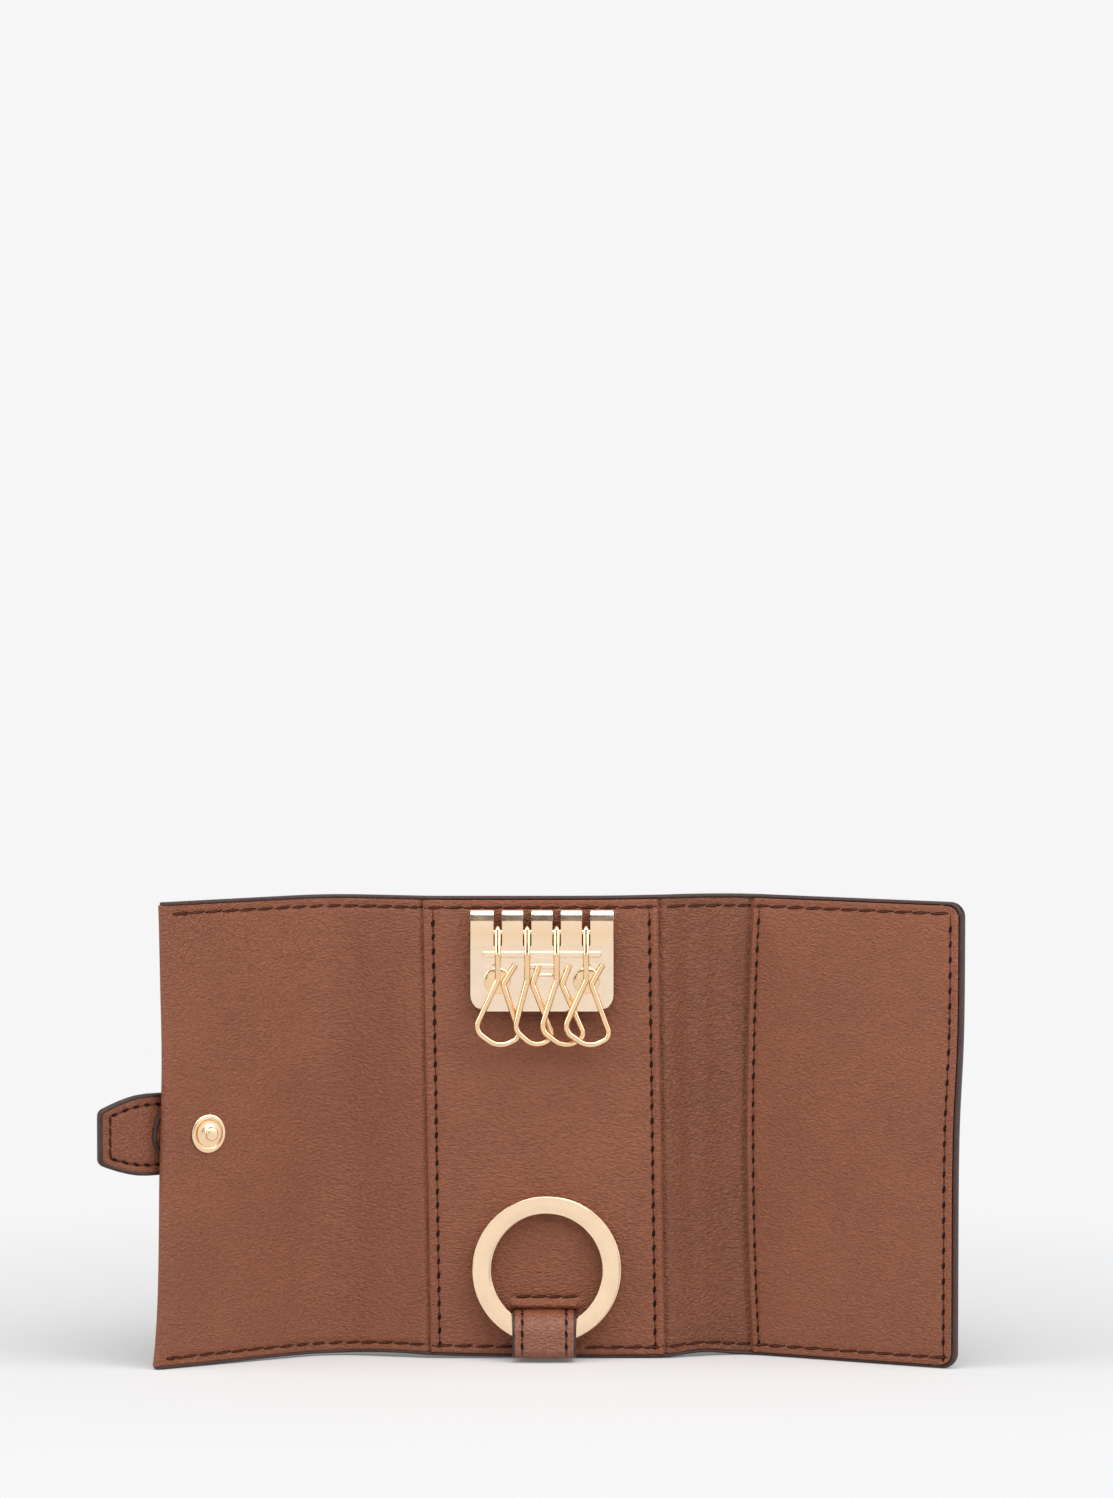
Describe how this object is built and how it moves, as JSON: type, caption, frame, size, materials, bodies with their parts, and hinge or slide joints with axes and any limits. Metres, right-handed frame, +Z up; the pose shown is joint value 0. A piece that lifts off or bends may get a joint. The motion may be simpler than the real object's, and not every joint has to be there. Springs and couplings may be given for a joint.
{
  "type": "key case",
  "caption": "Folding leather key case, open and standing, with key hooks on a metal plate, a split ring on a strap, a slip pocket and a snap tab.",
  "frame": {"origin": "on the floor under the middle of the box that holds the standing open case", "axes": "+X to the right along the open case, +Y away from the viewer to its outside, +Z up"},
  "size_m": [0.188, 0.0308, 0.1016],
  "materials": {
    "leather": "soft grain",
    "lining": "fine grain",
    "board": "matt pressed fibre",
    "edge_paint": "satin edge paint",
    "thread": "waxed thread",
    "gold": "polished pale gold"
  },
  "bodies": {
    "back": {"outer_back": "leather", "board_back": "board", "center_facing": "leather", "edge_paint_back": "edge_paint", "facing_stitching": "thread", "key_plate": "gold", "hook_axle": "gold", "plate_rivets": "gold", "rivet_washers": "gold", "ring_strap": "leather", "strap_stitching": "thread"},
    "left_spine": {"outer_left_spine": "leather", "padding_left_spine": "board", "lining_left_spine": "lining", "edge_paint_left_spine": "edge_paint", "left_spine_stitching": "thread"},
    "left_cover": {"outer_left_cover": "leather", "board_left_cover": "board", "lining_left_cover": "leather", "edge_paint_left_cover": "edge_paint", "left_cover_stitching": "thread", "tab_keeper": "lining", "tab_inner": "lining", "tab_outer": "leather", "tab_stitching": "thread", "snap_cap": "gold", "snap_stud": "gold"},
    "right_spine": {"outer_right_spine": "leather", "padding_right_spine": "board", "lining_right_spine": "lining", "edge_paint_right_spine": "edge_paint", "right_spine_stitching": "thread"},
    "right_cover": {"outer_right_cover": "leather", "board_right_cover": "board", "pocket_backing": "lining", "pocket_panel": "leather", "edge_paint_right_cover": "edge_paint", "right_cover_stitching": "thread", "snap_socket": "gold", "socket_eyelet": "gold"},
    "hook_1": {"hook_1": "gold"},
    "hook_2": {"hook_2": "gold"},
    "hook_3": {"hook_3": "gold"},
    "hook_4": {"hook_4": "gold"},
    "ring": {"split_ring": "gold"}
  },
  "joints": [
    {"name": "left_spine_fold", "type": "hinge", "parent": "back", "child": "left_spine", "pos_m": [-0.02248, 0.00782, 0.0508], "axis": [0, 0, -1], "range_deg": [-105, 15]},
    {"name": "left_cover_fold", "type": "hinge", "parent": "left_spine", "child": "left_cover", "pos_m": [-0.0446, 0.01374, 0.0508], "axis": [0, 0, -1], "range_deg": [-42, 48]},
    {"name": "right_spine_fold", "type": "hinge", "parent": "back", "child": "right_spine", "pos_m": [0.02912, 0.00782, 0.0508], "axis": [0, 0, 1], "range_deg": [-100.2, 15]},
    {"name": "right_cover_fold", "type": "hinge", "parent": "right_spine", "child": "right_cover", "pos_m": [0.04648, 0.01421, 0.0508], "axis": [0, 0, 1], "range_deg": [-52.9, 47.1]},
    {"name": "ring_swing", "type": "hinge", "parent": "back", "child": "ring", "pos_m": [0.00332, 0.00307, 0.0062], "axis": [1, 0, 0], "range_deg": [0, 180]},
    {"name": "hook_1_swing", "type": "hinge", "parent": "back", "child": "hook_1", "pos_m": [0.00252, 0.00477, 0.0939], "axis": [-1, 0, 0], "range_deg": [0, 55]},
    {"name": "hook_2_swing", "type": "hinge", "parent": "hook_1", "child": "hook_2", "pos_m": [0.00252, 0.00477, 0.0939], "axis": [-1, 0, 0], "range_deg": [0, 30]},
    {"name": "hook_3_swing", "type": "hinge", "parent": "hook_2", "child": "hook_3", "pos_m": [0.00252, 0.00477, 0.0939], "axis": [-1, 0, 0], "range_deg": [0, 30]},
    {"name": "hook_4_swing", "type": "hinge", "parent": "hook_3", "child": "hook_4", "pos_m": [0.00252, 0.00477, 0.0939], "axis": [-1, 0, 0], "range_deg": [0, 25]}
  ]
}
